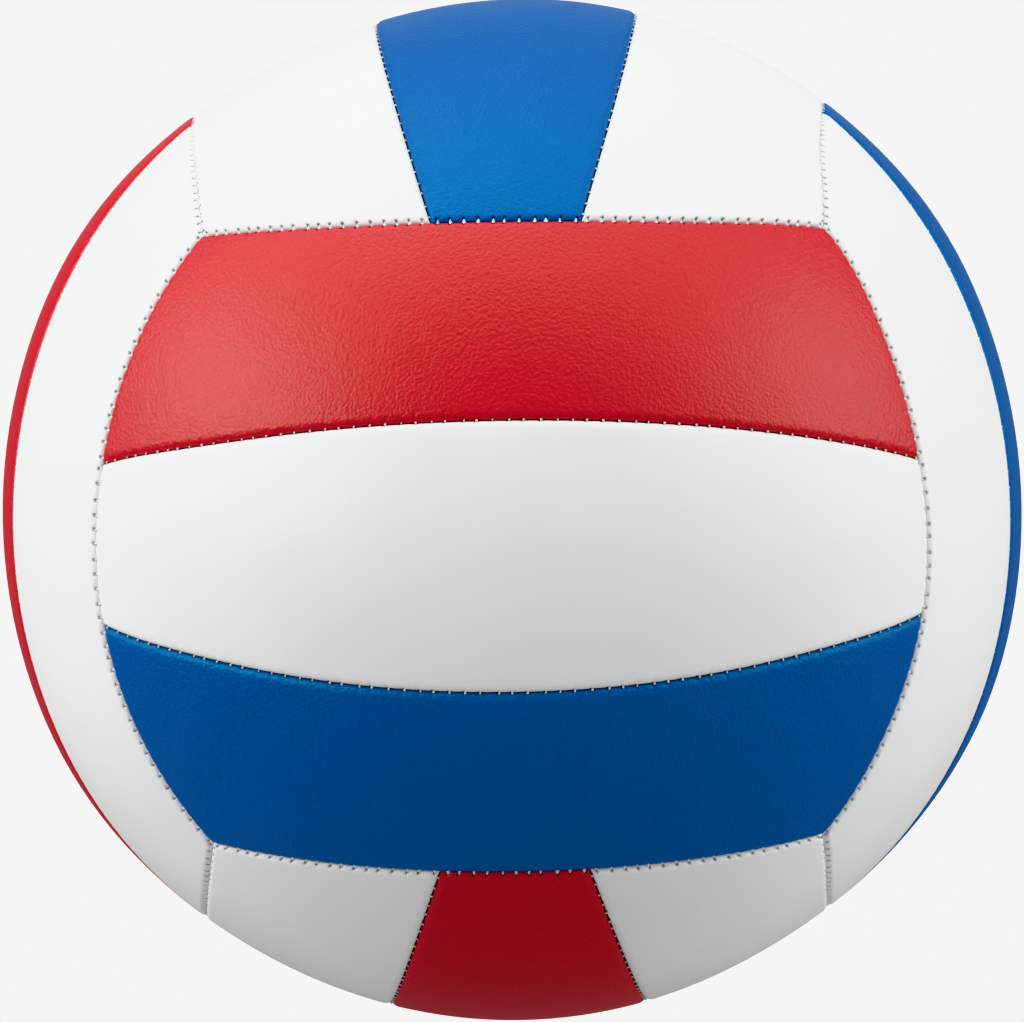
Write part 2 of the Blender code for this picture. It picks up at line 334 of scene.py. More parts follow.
def towards(azimuth, elevation):
    """A direction from the ball's centre, in degrees to the right of the front and up."""
    turn = math.radians(azimuth)
    rise = math.radians(elevation)
    return np.array([math.sin(turn) * math.cos(rise), -math.cos(turn) * math.cos(rise), math.sin(rise)])


def nearness(directions, place, reach):
    """1 at a place on the ball, which fades to 0 beyond this reach in degrees."""
    angles = np.degrees(np.arccos(np.clip(directions @ place, -1, 1)))
    return np.exp(-(angles / reach) ** 2)[:, None]


def settled(points):
    """Moves points of an even ball to where they are on this one."""
    radii = np.linalg.norm(points, axis=1, keepdims=True)
    directions = points / radii
    drift = np.zeros_like(points)
    for azimuth, elevation, right, up in SEAM_DRIFTS:
        place = towards(azimuth, elevation)
        shift = np.array([right, -(right * place[0] + up * place[2]) / place[1], up])
        drift += shift * nearness(directions, place, SEAM_DRIFT_REACH)
    swell = np.zeros_like(radii)
    for angle, height in SWELLINGS:
        swell += height * nearness(directions, towards(90, angle), SWELLING_REACH)
    return unit(directions + drift / BALL_RADIUS) * (radii + swell)


# Seams and panel outlines


def lerp(first, second, share):
    return first + (second - first) * np.asarray(share)[..., None]


def scatter(points, salt):
    """A steady random number from 0 to 1 for each point of the unit sphere."""
    return np.modf(np.abs(np.sin(points @ SCATTER_WEIGHTS + salt)) * SCATTER_SCALE)[0]


class Arc:
    """The arc through three points of the unit sphere, from 0 at its start to 1 at its end."""

    def __init__(self, start, middle, end):
        axis = unit(np.cross(middle - start, end - middle))
        self.centre = axis * axis.dot(start)
        self.spoke = start - self.centre
        self.turn = np.cross(axis, self.spoke)
        reach = end - self.centre
        self.sweep = math.atan2(reach @ self.turn, reach @ self.spoke)
        self.length = np.linalg.norm(self.spoke) * self.sweep * BALL_RADIUS

    def at(self, share):
        angle = self.sweep * np.asarray(share)[..., None]
        return self.centre + self.spoke * np.cos(angle) + self.turn * np.sin(angle)

    def heading(self, share):
        angle = self.sweep * np.asarray(share)[..., None]
        return unit(self.turn * np.cos(angle) - self.spoke * np.sin(angle))


def face_seam(along, across, normal):
    """The seam on the across side of a face, which bows towards the middle of that face."""
    middle = across * math.sin(FACE_ANGLE) + normal * math.cos(FACE_ANGLE)
    return Arc((across + normal - along) * CORNER, middle, (across + normal + along) * CORNER)


class Face:
    """The seams of one face: four along its strips, and one across their ends at each side."""

    def __init__(self, along, across):
        along, across = np.array(along, float), np.array(across, float)
        normal = np.cross(along, across)
        self.start = face_seam(across, normal, -along)
        self.end = face_seam(across, normal, along)
        half_end = MIDDLE_STRIP_END_WIDTH / 2 / self.end.length
        self.shares = [0, 0.5 - half_end, 0.5 + half_end, 1]
        self.seams = [
            face_seam(along, -across, normal),
            self.strip_seam(1, -across, normal),
            self.strip_seam(2, across, normal),
            face_seam(along, across, normal),
        ]

    def strip_seam(self, number, side, normal):
        middle = side * math.sin(STRIP_ANGLE) + normal * math.cos(STRIP_ANGLE)
        share = self.shares[number]
        return Arc(self.start.at(share), middle, self.end.at(share))


def stitch_shares(seam, corners, pitch):
    """Where the stitches are along a seam: spaced out between its corners, a little unevenly."""
    shares = []
    for first, last in zip(corners, corners[1:]):
        count = round((last - first) * seam.length / pitch)
        shares += [first + (last - first) * (step + 0.5) / count for step in range(count)]
    even = np.array(shares)
    drift = (2 * scatter(seam.at(even), SPACING_SALT) - 1) * np.sign(seam.heading(even) @ SCATTER_WEIGHTS)
    return even + drift * PITCH_SPREAD * pitch / seam.length


class Edge(NamedTuple):
    """How the leather is sewn along one side of a panel."""

    pitch: float
    shoulder: float
    opening: float = 0
    notch_depth: float = 0
    hole_depth: float = 0


STRIP_EDGE = Edge(STRIP_PITCH, STRIP_SHOULDER, opening=STRIP_OPENING, notch_depth=NOTCH_DEPTH)
FACE_EDGE = Edge(FACE_PITCH, FACE_SHOULDER, hole_depth=HOLE_DEPTH)


class Side:
    """One edge of a panel, followed along a seam so that the panel lies on its left."""

    def __init__(self, seam, first, last, corners, edge):
        self.edge = edge
        self.length = seam.length * abs(last - first)
        shares = stitch_shares(seam, corners, edge.pitch)
        self.stitches = (shares - first) / (last - first) * self.length
        order = np.argsort(self.stitches)
        self.stitches = self.stitches[order]
        points = seam.at(shares[order])
        self.slants = stitch_slants(points)
        self.strengths = stitch_strengths(points)

    def pull(self, along, inset):
        """How far the leather is drawn back from the seam and down at these places, and how much of a
        hole is there, from 0 to 1."""
        nearest = np.abs(along[..., None] - self.stitches).argmin(-1)
        offset = along - self.stitches[nearest] - self.slants[nearest] * inset
        strength = self.strengths[nearest]
        depth_in = inset - HALF_GAP
        notch = self.edge.notch_depth * strength * np.exp(-(offset / NOTCH_WIDTH) ** 2)
        back = (self.edge.opening + notch) * np.clip(1 - depth_in / NOTCH_REACH, 0, 1)
        pucker = np.exp(-(offset / PUCKER_SPREAD) ** 2 - (depth_in / PUCKER_REACH) ** 2)
        hole = np.exp(-(np.hypot(offset, inset - HOLE_INSET) / HOLE_RADIUS) ** 4)
        hole = hole if self.edge.hole_depth else np.zeros_like(hole)
        return back, PUCKER_DEPTH * strength * pucker + self.edge.hole_depth * hole, hole


def stitch_slants(points):
    return SLANT + SLANT_SPREAD * (2 * scatter(points, SLANT_SALT) - 1)


def stitch_strengths(points):
    return 1 + STRENGTH_SPREAD * (2 * scatter(points, STRENGTH_SALT) - 1)


class Strip:
    """One panel's outline on the unit sphere, filled by blending between its four seams.

    A place along or across the panel is a pair: a share of the way, and an offset in metres from there.
    """

    def __init__(self, face, number):
        self.face = face
        self.low, self.high = face.seams[number], face.seams[number + 1]
        self.shares = face.shares[number], face.shares[number + 1]
        low = (face.shares, FACE_EDGE) if number == 0 else ((0, 1), STRIP_EDGE)
        high = (face.shares, FACE_EDGE) if number == 2 else ((0, 1), STRIP_EDGE)
        self.sides = [
            Side(self.low, 0, 1, *low),
            Side(face.end, self.shares[0], self.shares[1], self.shares, FACE_EDGE),
            Side(self.high, 1, 0, *high),
            Side(face.start, self.shares[1], self.shares[0], self.shares, FACE_EDGE),
        ]

    def end_points(self, v):
        share = self.shares[0] + (self.shares[1] - self.shares[0]) * v
        return self.face.start.at(share), self.face.end.at(share)

    def direction(self, u, v):
        start, end = self.end_points(v)
        low_start, low_end = self.end_points(0)
        high_start, high_end = self.end_points(1)
        along = lerp(self.low.at(u), self.high.at(u), v)
        across = lerp(start, end, u)
        corners = lerp(lerp(low_start, low_end, u), lerp(high_start, high_end, u), v)
        return unit(along + across - corners)

    def length(self, v):
        return self.low.length + (self.high.length - self.low.length) * v

    def width(self, u):
        between = (self.low.at(u) * self.high.at(u)).sum(-1)
        return np.arccos(np.clip(between, -1, 1)) * BALL_RADIUS

    def place(self, along, across, depth):
        """Points at these places, at this depth under the ball's surface."""
        u = along[0] + along[1] / self.length(0.5)
        for _ in range(PLACE_ROUNDS):
            v = across[0] + across[1] / self.width(u)
            u = along[0] + along[1] / self.length(v)
        return self.direction(u, v) * (BALL_RADIUS - depth)[..., None]

    def place_beside(self, number, along, inset, depth):
        """Points beside one of the four sides, with along counted the way that the side is followed."""
        share, offset = along
        back = (1 - share, -offset)
        places = [
            (along, (0, inset)),
            ((1, -inset), along),
            (back, (1, -inset)),
            ((0, inset), back),
        ]
        return self.place(*places[number], depth)


# Meshes


class Shell:
    """Collects the points and faces of one mesh."""

    def __init__(self):
        self.points = np.empty((0, 3))
        self.holes = np.empty(0)
        self.faces = []

    def add(self, points, holes=0):
        """Adds an array of points and returns their numbers in the same arrangement."""
        first = len(self.points)
        shape = points.shape[:-1]
        self.points = np.concatenate([self.points, points.reshape(-1, 3)])
        self.holes = np.append(self.holes, np.broadcast_to(holes, shape))
        return np.arange(first, len(self.points)).reshape(shape)

    def grid(self, numbers):
        corners = numbers[:-1, :-1], numbers[1:, :-1], numbers[1:, 1:], numbers[:-1, 1:]
        self.faces += np.stack(corners, -1).reshape(-1, 4).tolist()

    def bridge(self, first, first_at, second, second_at):
        """Triangles between two rows of points, given where along the rows the points are."""
        i = j = 0
        while i < len(first) - 1 or j < len(second) - 1:
            if j == len(second) - 1:
                step_first = True
            elif i == len(first) - 1:
                step_first = False
            else:
                step_first = first_at[i] + first_at[i + 1] <= second_at[j] + second_at[j + 1]
            if step_first:
                self.faces.append((int(first[i]), int(first[i + 1]), int(second[j])))
                i += 1
            else:
                self.faces.append((int(first[i]), int(second[j + 1]), int(second[j])))
                j += 1

    def bridge_rings(self, first, first_at, second, second_at):
        """The same between two closed rings, placed by angle."""
        rows = []
        for ring, angles in ((first, first_at), (second, second_at)):
            order = np.argsort(angles)
            rows.append(np.append(ring[order], ring[order[0]]))
            rows.append(np.append(angles[order], angles[order[0]] + 2 * math.pi))
        self.bridge(*rows)

    def made(self, name, finish):
        """The mesh as an object with its faces pointing out, which keeps how deep each point lies in the
        seams and needle holes, where the leather's material paints shade."""
        mesh = bpy.data.meshes.new(name)
        mesh.from_pydata(settled(self.points), [], self.faces)
        bm = bmesh.new()
        bm.from_mesh(mesh)
        bmesh.ops.recalc_face_normals(bm, faces=bm.faces)
        bm.to_mesh(mesh)
        bm.free()
        depths = BALL_RADIUS - np.linalg.norm(self.points, axis=1)
        for attribute, values in (("seam_depth", depths), ("hole", self.holes)):
            mesh.attributes.new(attribute, "FLOAT", "POINT").data.foreach_set("value", values)
        mesh.shade_smooth()
        mesh.materials.append(finish)
        obj = bpy.data.objects.new(name, mesh)
        bpy.context.scene.collection.objects.link(obj)
        return obj


def shoulder_rise(inset, width):
    """A quarter of an ellipse: 0 at the fold and 1 where the crown starts."""
    share = np.clip((np.abs(inset) - HALF_GAP) / width, 0, 1)
    return np.sqrt(1 - (1 - share) ** 2)


def crown_places(margin, count):
    """Places from one margin to the other in this many even cells, as shares and offsets."""
    share = np.linspace(0, 1, count + 1)
    return share, margin * (1 - 2 * share)


def border(numbers):
    """The four sides of a grid of points, each followed as the panel's sides are."""
    return [numbers[:, 0], numbers[-1, :], numbers[::-1, -1], numbers[0, ::-1]]


class Panel:
    """The mesh of one leather panel: an upturned tray with rolled, stitched edges and hems."""

    def __init__(self, strip, has_valve):
        self.strip = strip
        self.has_valve = has_valve
        self.shell = Shell()
        self.insets = HALF_GAP + SHOULDER_ROWS
        self.shoulder = self.insets[-1]
        self.corner = slice(-len(self.insets), None)
        self.add_edges()
        self.add_crown()
        self.add_hem()

    def columns(self, side):
        """Places along a side: close together at each stitch, then through the corner at its end."""
        between = (side.stitches[1:] + side.stitches[:-1]) / 2
        fine = np.sort(np.append((side.stitches[:, None] + STITCH_COLUMNS).ravel(), between))
        room = self.shoulder + STITCH_COLUMNS[-1] - STITCH_COLUMNS[-2]
        fine = fine[(fine > room) & (fine < side.length - room)]
        share = (fine - self.shoulder) / (side.length - 2 * self.shoulder)
        shares = np.append(share, np.ones(SHOULDER_STEPS + 1))
        offsets = np.append(self.shoulder * (1 - 2 * share), -self.insets[::-1])
        return shares, offsets

    def edge(self, number):
        """The rolled edge along one side and round the corner at its end."""
        side, following = self.strip.sides[number], self.strip.sides[(number + 1) % 4]
        shares, offsets = (column[:, None] for column in self.columns(side))
        along = shares * side.length + offsets
        inset = np.broadcast_to(self.insets, (len(along), len(self.insets)))
        along = np.broadcast_to(along, inset.shape)
        corner = self.corner
        rise = shoulder_rise(inset, side.edge.shoulder)
        back, down, holes = side.pull(along, inset)
        end_inset = side.length - along[corner]
        rise[corner] *= shoulder_rise(end_inset, following.edge.shoulder)
        end_back, end_down, end_holes = following.pull(inset[corner], end_inset)
        offsets = np.broadcast_to(offsets, inset.shape).copy()
        offsets[corner] -= end_back
        down[corner] += end_down
        holes[corner] += end_holes
        depth = SEAM_DEPTH * (1 - rise) + down
        place = np.broadcast_to(shares, inset.shape), offsets
        return self.strip.place_beside(number, place, inset + back, depth), holes, along[:, 0]

    def add_edges(self):
        made = [self.edge(number) for number in range(4)]
        bands = [self.shell.add(points, holes) for points, holes, _ in made]
        self.folds, self.crown_rows = [], []
        for number, (band, (_, _, along)) in enumerate(zip(bands, made)):
            length = self.strip.sides[number].length
            previous = bands[number - 1]
            start = previous[self.corner, -1][::-1]
            whole = np.concatenate([start[None], band])
            self.shell.grid(whole)
            fold = np.concatenate([previous[-1], band[:, 0]])
            self.folds.append((fold, np.concatenate([self.insets, along]) / length))
            inner = whole[:-SHOULDER_STEPS, -1]
            inner_at = np.append(self.shoulder, along[:-SHOULDER_STEPS])
            self.crown_rows.append((inner, (inner_at - self.shoulder) / (length - 2 * self.shoulder)))

    def sheet(self, margin, depth_at):
        """An even grid over the panel within this margin, and its border, with any hole for the valve."""
        along = crown_places(margin, CROWN_CELLS_ALONG)
        across = crown_places(margin, CROWN_CELLS_ACROSS)
        shape = CROWN_CELLS_ALONG + 1, CROWN_CELLS_ACROSS + 1
        along = [np.broadcast_to(part[:, None], shape) for part in along]
        across = [np.broadcast_to(part, shape) for part in across]
        numbers = self.shell.add(self.strip.place(along, across, depth_at(shape)))
        if self.has_valve:
            return border(numbers), self.cut_block(numbers)
        self.shell.grid(numbers)
        return border(numbers), None

    def cut_block(self, numbers):
        """Faces over a grid but for a block in its middle, whose rim is returned."""
        i, j = (count // 2 - VALVE_BLOCK_CELLS for count in (CROWN_CELLS_ALONG, CROWN_CELLS_ACROSS))
        last_i, last_j = i + 2 * VALVE_BLOCK_CELLS, j + 2 * VALVE_BLOCK_CELLS
        for part in (numbers[:i + 1], numbers[last_i:], numbers[i:last_i + 1, :j + 1],
                     numbers[i:last_i + 1, last_j:]):
            self.shell.grid(part)
        sides = border(numbers[i:last_i + 1, j:last_j + 1])
        return np.concatenate([side[:-1] for side in sides])

    def add_crown(self):
        """The smooth middle of the panel and its underside."""
        margin = self.shoulder + CROWN_MARGIN
        edges, outer_rim = self.sheet(margin, np.zeros)
        for (row, row_at), edge in zip(self.crown_rows, edges):
            self.shell.bridge(row, row_at, edge, np.linspace(0, 1, len(edge)))
        self.lining, inner_rim = self.sheet(HALF_GAP + COVER_THICKNESS, self.lining_depth)
        if self.has_valve:
            self.add_valve_hole(outer_rim, inner_rim)

    def lining_depth(self, shape):
        depth = np.full(shape, COVER_THICKNESS + INNER_EDGE_DROP)
        depth[1:-1, 1:-1] = COVER_THICKNESS
        return depth

    def add_hem(self):
        """Turns the folds and the underside's border straight in, and joins them at the bottom."""
        loop = np.concatenate([fold[:-1] for fold, _ in self.folds])
        hem = self.turn_in(loop)
        lining_loop = np.concatenate([edge[:-1] for edge in self.lining])
        lining_hem = self.turn_in(lining_loop)
        for (fold, fold_at), edge in zip(self.folds, self.lining):
            outer = [hem[number] for number in fold]
            inner = [lining_hem[number] for number in edge]
            self.shell.bridge(outer, fold_at, inner, np.linspace(0, 1, len(inner)))

    def turn_in(self, loop):
        """A wall from a closed loop of points down to the hem's end; returns each point's lower one."""
        low = self.shell.add(unit(self.shell.points[loop]) * HEM_RADIUS)
        ring = np.stack([np.append(loop, loop[0]), np.append(low, low[0])], -1)
        self.shell.grid(ring)
        return dict(zip(loop.tolist(), low.tolist()))

    def add_valve_hole(self, outer_rim, inner_rim):
        """A hole with a pressed-in rim, from the crown down to the underside."""
        angles = (np.arange(VALVE_STEPS) + 0.5) / VALVE_STEPS * 2 * math.pi - math.pi
        steps = np.linspace(1, 0, SHOULDER_STEPS)
        profile = [(VALVE_HOLE_RADIUS + VALVE_RIM_WIDTH * step ** 2, VALVE_RIM_DROP * (1 - step) ** 2)
                   for step in steps]
        profile.append((VALVE_HOLE_RADIUS, COVER_THICKNESS))
        rings = []
        for radius, depth in profile:
            height = math.sqrt((BALL_RADIUS - depth) ** 2 - radius ** 2)
            ring = [np.cos(angles) * radius, np.full(VALVE_STEPS, height), np.sin(angles) * radius]
            rings.append(self.shell.add(np.stack(ring, -1)))
        closed = [np.append(ring, ring[0]) for ring in rings]
        self.shell.grid(np.stack(closed))
        for rim, ring in ((outer_rim, rings[0]), (inner_rim, rings[-1])):
            points = self.shell.points[rim]
            self.shell.bridge_rings(rim, np.arctan2(points[:, 2], points[:, 0]), ring, angles)


def add_thread(shell, seam, shares, insets, depths, radii, shift):
    """One short length of thread at each stitch of a seam, across it at these distances to its left."""
    points, headings = seam.at(shares), seam.heading(shares)
    angles = np.arange(THREAD_SIDES) / THREAD_SIDES * 2 * math.pi
    stitches = zip(points, headings, stitch_slants(points), stitch_strengths(points))
    for point, heading, slant, strength in stitches:
        run = np.cross(point, heading) + heading * slant
        middle = point * (BALL_RADIUS - depths)[:, None] + heading * shift + run * insets[:, None]
        beside = unit(np.cross(point, run))
        ring = beside * np.cos(angles)[:, None] + point * np.sin(angles)[:, None]
        numbers = shell.add(middle[:, None] + ring * radii[:, None, None] * strength)
        shell.grid(np.concatenate([numbers, numbers[:, :1]], axis=1))
        shell.faces += [numbers[0].tolist(), numbers[-1].tolist()]


def add_rungs(shell, seam):
    """Rungs across the seam between two strips, which sink in at both ends."""
    depths = RUNG_DEPTH + RUNG_SINK * THREAD_SPREAD ** 4
    radii = np.full(THREAD_RINGS, RUNG_RADIUS)
    shares = stitch_shares(seam, (0, 1), STRIP_PITCH)
    add_thread(shell, seam, shares, THREAD_SPREAD * RUNG_REACH, depths, radii, RUNG_SHIFT)


def add_loops(shell, seam, corners):
    """Wedges of thread across the seam between two faces, which go down the needle holes at both ends."""
    depths = np.interp(np.abs(THREAD_SPREAD), (0, 1), LOOP_DEPTHS) + LOOP_SINK * THREAD_SPREAD ** 4
    radii = np.interp(np.abs(THREAD_SPREAD), (0, 1), LOOP_RADII)
    shares = stitch_shares(seam, corners, FACE_PITCH)
    add_thread(shell, seam, shares, THREAD_SPREAD * LOOP_REACH, depths, radii, 0)


def turned(name, profile, finish):
    """A closed body turned about the valve's axis, from (radius, distance from the centre) points."""
    shell = Shell()
    angles = np.arange(VALVE_STEPS) / VALVE_STEPS * 2 * math.pi
    radii, heights = np.array(profile).T
    points = [np.cos(angles)[:, None] * radii, np.broadcast_to(heights, (VALVE_STEPS, len(radii))),
              np.sin(angles)[:, None] * radii]
    numbers = shell.add(np.stack(points, -1))
    numbers = np.concatenate([numbers, numbers[:1]])
    shell.grid(np.concatenate([numbers, numbers[:, :1]], axis=1))
    obj = shell.made(name, finish)
    obj.data.set_sharp_from_angle(angle=VALVE_CREASE_ANGLE)
    bevel = obj.modifiers.new("rounded_edges", "BEVEL")
    bevel.width = VALVE_EDGE
    bevel.segments = VALVE_EDGE_SEGMENTS
    return obj


# Materials


def set_inputs(tree, node, values):
    """Gives a node's inputs their values, or joins them to other nodes."""
    for name, value in values.items():
        if isinstance(value, bpy.types.NodeSocket):
            tree.links.new(value, node.inputs[name])
        else:
            node.inputs[name].default_value = value


def add_node(tree, kind, values, **settings):
    node = tree.nodes.new(kind)
    for name, value in settings.items():
        setattr(node, name, value)
    set_inputs(tree, node, values)
    return node


def math_node(tree, operation, first, second):
    return add_node(tree, "ShaderNodeMath", {0: first, 1: second}, operation=operation).outputs[0]


def vector_node(tree, operation, values):
    return add_node(tree, "ShaderNodeVectorMath", values, operation=operation).outputs["Vector"]


def ranged(tree, value, low, high, at_low, at_high):
    """A value mapped from one range onto another, and held at its ends."""
    values = {"Value": value, "From Min": low, "From Max": high, "To Min": at_low, "To Max": at_high}
    return add_node(tree, "ShaderNodeMapRange", values).outputs["Result"]


def noise(tree, place, size, detail=PLAIN_DETAIL, roughness=0.5, output="Fac"):
    """A noise from 0 to 1 whose features are about this large."""
    values = {"Vector": place, "Scale": 1 / size, "Detail": detail, "Roughness": roughness}
    return add_node(tree, "ShaderNodeTexNoise", values).outputs[output]


def cells(tree, place, size):
    """Cells of about this size: how far each point is from the middle of its cell."""
    values = {"Vector": place, "Scale": 1 / size}
    return add_node(tree, "ShaderNodeTexVoronoi", values).outputs["Distance"]


def drifted(tree, place, size, reach):
    """Places moved about smoothly, by up to about this reach, so that a texture there runs unevenly."""
    drift = noise(tree, place, size, output="Color")
    drift = vector_node(tree, "SUBTRACT", {0: drift, 1: NOISE_MIDDLE})
    drift = vector_node(tree, "SCALE", {0: drift, "Scale": reach})
    return vector_node(tree, "ADD", {0: place, 1: drift})


def tinted(tree, colour, factor):
    """A colour made darker or lighter by a factor that varies over the surface."""
    return vector_node(tree, "SCALE", {0: colour, "Scale": factor})


def carried(tree, attribute):
    """A value that the mesh carries at its points."""
    return add_node(tree, "ShaderNodeAttribute", {}, attribute_name=attribute).outputs["Fac"]


def new_material(name):
    material = bpy.data.materials.new(name)
    material.use_nodes = True
    tree = material.node_tree
    place = add_node(tree, "ShaderNodeTexCoord", {}).outputs["Object"]
    return material, tree, place, tree.nodes["Principled BSDF"]


def bump(tree, height, strength, distance):
    values = {"Height": height, "Strength": strength, "Distance": distance}
    return add_node(tree, "ShaderNodeBump", values).outputs["Normal"]


def leather(name, look):
    """Coated synthetic leather: pebbled, wrinkled grain, uneven gloss, and painted shade down in the seams
    and needle holes.
    """
    material, tree, place, shader = new_material(name)
    bent = drifted(tree, place, WRINKLE_DRIFT_SIZE, WRINKLE_DRIFT)
    valleys = cells(tree, bent, PEBBLE_SIZE)
    wrinkles = noise(tree, bent, WRINKLE_SIZE, RICH_DETAIL, WRINKLE_ROUGHNESS)
    height = math_node(tree, "SUBTRACT", wrinkles, valleys)
    mottle = noise(tree, place, MOTTLE_SIZE, RICH_DETAIL)
    # Painted shade: darker the deeper a point lies in a seam, in place of the shade that falls there
    painted_depth_shade = ranged(tree, carried(tree, "seam_depth"), *SEAM_PAINTED_SHADE_DEPTHS, 1, SEAM_PAINTED_SHADE)
    # Painted shade: dark in the needle holes, in place of the shade inside them
    painted_hole_shade = ranged(tree, carried(tree, "hole"), 0, 1, 1, HOLE_PAINTED_SHADE)
    painted_seam_shade = math_node(tree, "MULTIPLY", painted_depth_shade, painted_hole_shade)
    grain_tint = GRAIN_SHADE * look.grain
    grain_shade = ranged(tree, height, *GRAIN_HEIGHTS, 1 - grain_tint, 1 + grain_tint)
    mottle_shade = ranged(tree, mottle, *NOISE_RANGE, *MOTTLE_SHADES)
    # The painted shade of seams and needle holes, times the grain's and the mottle's own tone
    shade = math_node(tree, "MULTIPLY", math_node(tree, "MULTIPLY", painted_seam_shade, grain_shade), mottle_shade)
    set_inputs(tree, shader, {
        "Base Color": tinted(tree, look.colour, shade),
        "Roughness": ranged(tree, mottle, *NOISE_RANGE, *LEATHER_ROUGHNESSES),
        "Specular IOR Level": look.gloss,
        "Specular Tint": (*look.gloss_tint, 1),
        "Sheen Weight": look.sheen,
        "Sheen Roughness": SHEEN_ROUGHNESS,
        "Sheen Tint": (*look.sheen_tint, 1),
        "Normal": bump(tree, height, look.grain, GRAIN_DEPTH),
    })
    return material


def thread_fibre(name, colour):
    """Spun white thread, with fine fibres and a little grime."""
    material, tree, place, shader = new_material(name)
    fibres = noise(tree, place, FIBRE_SIZE)
    grime = noise(tree, place, GRIME_SIZE)
    set_inputs(tree, shader, {
        "Base Color": tinted(tree, colour, ranged(tree, grime, *NOISE_RANGE, *GRIME_SHADES)),
        "Roughness": ranged(tree, fibres, *NOISE_RANGE, *THREAD_ROUGHNESSES),
        "Normal": bump(tree, fibres, FIBRE_RELIEF, FIBRE_DEPTH),
    })
    return material


def rubber(name, colour, roughness):
    """Moulded rubber with a faint bloom and a fine matte skin."""
    material, tree, place, shader = new_material(name)
    bloom = noise(tree, place, BLOOM_SIZE, BLOOM_DETAIL)
    skin = noise(tree, place, SKIN_SIZE)
    set_inputs(tree, shader, {
        "Base Color": tinted(tree, colour, ranged(tree, bloom, *BLOOM_RANGE, *BLOOM_SHADES)),
        "Roughness": ranged(tree, bloom, *NOISE_RANGE, roughness - RUBBER_ROUGHNESS_SPREAD,
                            roughness + RUBBER_ROUGHNESS_SPREAD),
        "Normal": bump(tree, skin, SKIN_RELIEF, SKIN_DEPTH),
    })
    return material


def foam(name, colour):
    """Open-celled foam."""
    material, tree, place, shader = new_material(name)
    patches = noise(tree, place, PATCH_SIZE, RICH_DETAIL)
    set_inputs(tree, shader, {
        "Base Color": tinted(tree, colour, ranged(tree, patches, *NOISE_RANGE, *PATCH_SHADES)),
        "Roughness": ranged(tree, patches, *NOISE_RANGE, *FOAM_ROUGHNESSES),
        "Normal": bump(tree, cells(tree, place, CELL_SIZE), CELL_RELIEF, CELL_DEPTH),
    })
    return material


# Camera, light and stage


def add_camera():
    facing = (Matrix.Rotation(CAMERA_ROLL, 3, "Y") @ Matrix.Rotation(CAMERA_PITCH, 3, "X")
              @ Matrix.Rotation(CAMERA_YAW, 3, "Z"))
    right, forward, up = facing
    distance = CAMERA_RADII * BALL_RADIUS
    focal_pixels = BALL_RADIUS_PIXELS * math.sqrt(CAMERA_RADII ** 2 - 1)
    data = bpy.data.cameras.new("camera")
    data.sensor_width = SENSOR_WIDTH
    data.lens = focal_pixels * SENSOR_WIDTH / IMAGE_WIDTH
    camera = bpy.data.objects.new("camera", data)
    axes = Matrix((right, up, -forward)).transposed()
    camera.matrix_world = Matrix.Translation(-forward * distance) @ axes.to_4x4()
    bpy.context.scene.collection.objects.link(camera)
    bpy.context.scene.camera = camera


def add_light(name, box):
    direction = Vector(towards(box.azimuth, box.elevation))
    data = bpy.data.lights.new(name, "AREA")
    data.shape = "RECTANGLE"
    data.size = box.width
    data.size_y = box.height
    data.energy = box.power
    light = bpy.data.objects.new(name, data)
    light.location = direction * box.distance
    light.rotation_euler = direction.to_track_quat("Z", "Y").to_euler()
    light.visible_camera = False
    light.visible_glossy = box.reflected
    bpy.context.scene.collection.objects.link(light)


def add_sky():
    """Faint light from all round."""
    world = bpy.data.worlds.new("studio")
    bpy.context.scene.world = world
    world.use_nodes = True
    background = world.node_tree.nodes["Background"]
    background.inputs["Color"].default_value = (1, 1, 1, 1)
    background.inputs["Strength"].default_value = SKY_STRENGTH


def add_backdrop():
    """A plain pale dome far behind the ball on all sides, which neither lights it nor shades it."""
    mesh = bpy.data.meshes.new("backdrop")
    bm = bmesh.new()
    bmesh.ops.create_uvsphere(bm, u_segments=BACKDROP_SEGMENTS, v_segments=BACKDROP_RINGS,
                              radius=BACKDROP_RADIUS)
    bm.to_mesh(mesh)
    bm.free()
    material = bpy.data.materials.new("backdrop")
    material.use_nodes = True
    tree = material.node_tree
    tree.nodes.remove(tree.nodes["Principled BSDF"])
    glow = add_node(tree, "ShaderNodeEmission", {"Color": BACKDROP_COLOUR, "Strength": 1})
    tree.links.new(glow.outputs[0], tree.nodes["Material Output"].inputs["Surface"])
    mesh.materials.append(material)
    backdrop = bpy.data.objects.new("backdrop", mesh)
    backdrop.visible_diffuse = False
    backdrop.visible_glossy = False
    backdrop.visible_shadow = False
    bpy.context.scene.collection.objects.link(backdrop)


# The ball


def attach(piece, slot, *nodes):
    """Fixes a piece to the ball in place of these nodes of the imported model."""
    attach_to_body(piece, "root")
    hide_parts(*nodes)


def add_panels(finishes):
    for face_name, (along, across, strips) in FACES.items():
        face = Face(along, across)
        for number, (strip_name, colour) in enumerate(strips.items()):
            name = f"{face_name}_{strip_name}"
            panel = Panel(Strip(face, number), name == VALVE_PANEL)
            piece = panel.shell.made(f"panel_{name}", finishes[colour])
            attach(piece, f"{colour}_leather", f"cover_{name}")


def add_strip_stitches(finish):
    for face_name, (along, across, strips) in FACES.items():
        face = Face(along, across)
        names = list(strips)
        for number, strip_name in ((1, names[0]), (2, names[2])):
            shell = Shell()
            add_rungs(shell, face.seams[number])
            piece = shell.made(f"stitches_{face_name}_{strip_name}", finish)
            attach(piece, "thread", f"thread_{face_name}_{strip_name}")


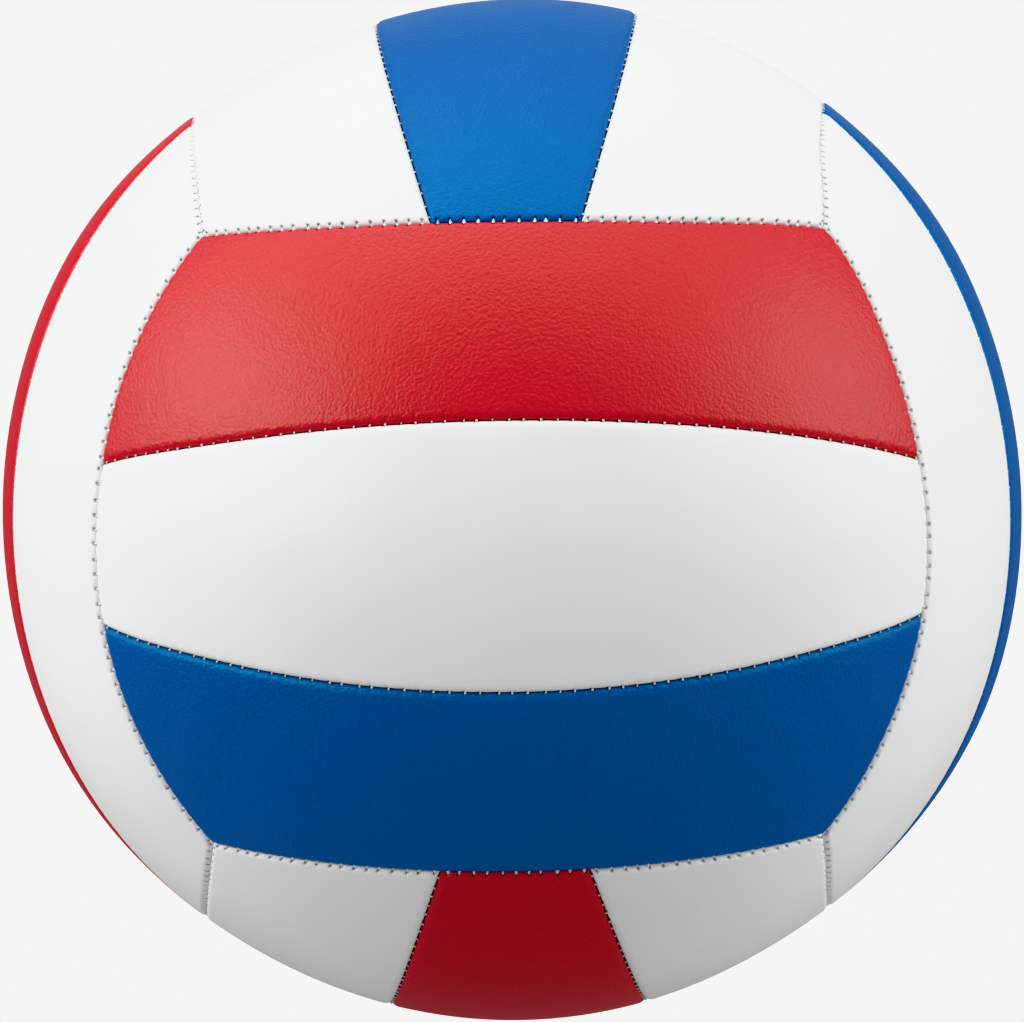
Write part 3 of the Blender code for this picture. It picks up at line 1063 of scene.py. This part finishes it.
def add_face_stitches(finish):
    """Four threads join the six faces: one follows three seams, and the others are its half turns."""
    x, y, z = np.eye(3)
    corners = Face(x, z).shares
    routes = ((x, z, -y), (z, -y, x), (y, x, -z))
    half_turns = [np.ones(3), *(2 * axis - 1 for axis in (x, y, z))]
    for number, signs in enumerate(half_turns, 1):
        shell = Shell()
        for route in routes:
            seam = face_seam(*(direction * signs for direction in route))
            add_loops(shell, seam, corners)
        attach(shell.made(f"face_stitches_{number}", finish), "thread", f"face_thread_{number}")


def add_valve(housing_finish, core_finish):
    end = VALVE_TOP - VALVE_LENGTH
    stop = end + CORE_STOP_THICKNESS
    flange_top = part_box("bladder")[1].y - BLADDER_WALL - CORE_CLEARANCE
    bore = CORE_RADIUS + CORE_CLEARANCE
    housing = turned("valve_rim", [
        (bore, VALVE_TOP),
        (STEM_RADIUS, VALVE_TOP),
        (STEM_RADIUS, flange_top),
        (FLANGE_RADIUS, flange_top),
        (FLANGE_RADIUS, flange_top - FLANGE_THICKNESS),
        (STEM_RADIUS, flange_top - FLANGE_THICKNESS),
        (STEM_RADIUS, end),
        (CORE_STOP_HOLE_RADIUS, end),
        (CORE_STOP_HOLE_RADIUS, stop),
        (bore, stop),
    ], housing_finish)
    attach(housing, "bladder_rubber", "valve_housing")
    core = turned("valve_plug", [
        (FUNNEL_RADIUS, VALVE_TOP),
        (CORE_RADIUS, VALVE_TOP),
        (CORE_RADIUS, stop + CORE_CLEARANCE),
        (NEEDLE_HOLE_RADIUS, stop + CORE_CLEARANCE),
        (NEEDLE_HOLE_RADIUS, VALVE_TOP - FUNNEL_DEPTH),
    ], core_finish)
    attach(core, "core_rubber", "valve_core")


def dress_inside(nodes, foam_finish, rubber_finish):
    """Gives the pads and the bladder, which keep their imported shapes, their own materials."""
    for name, node in nodes.items():
        if name.startswith("foam_") or name == "bladder":
            node.data.materials.clear()
            node.data.materials.append(rubber_finish if name == "bladder" else foam_finish)


def main():
    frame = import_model()
    bpy.context.scene.view_settings.view_transform = "Khronos PBR Neutral"
    add_camera()
    add_sky()
    add_backdrop()
    for name, box in LIGHTS.items():
        add_light(name, box)
    black_rubber = rubber("black_rubber", RUBBER_BLACK, RUBBER_ROUGHNESS)
    thread = thread_fibre("white_thread", THREAD_WHITE)
    add_panels({colour: leather(f"{colour}_leather", look) for colour, look in LEATHERS.items()})
    add_strip_stitches(thread)
    add_face_stitches(thread)
    add_valve(black_rubber, rubber("grey_rubber", CORE_GREY, CORE_ROUGHNESS))
    dress_inside(frame["nodes"], foam("cream_foam", FOAM_CREAM), black_rubber)


main()
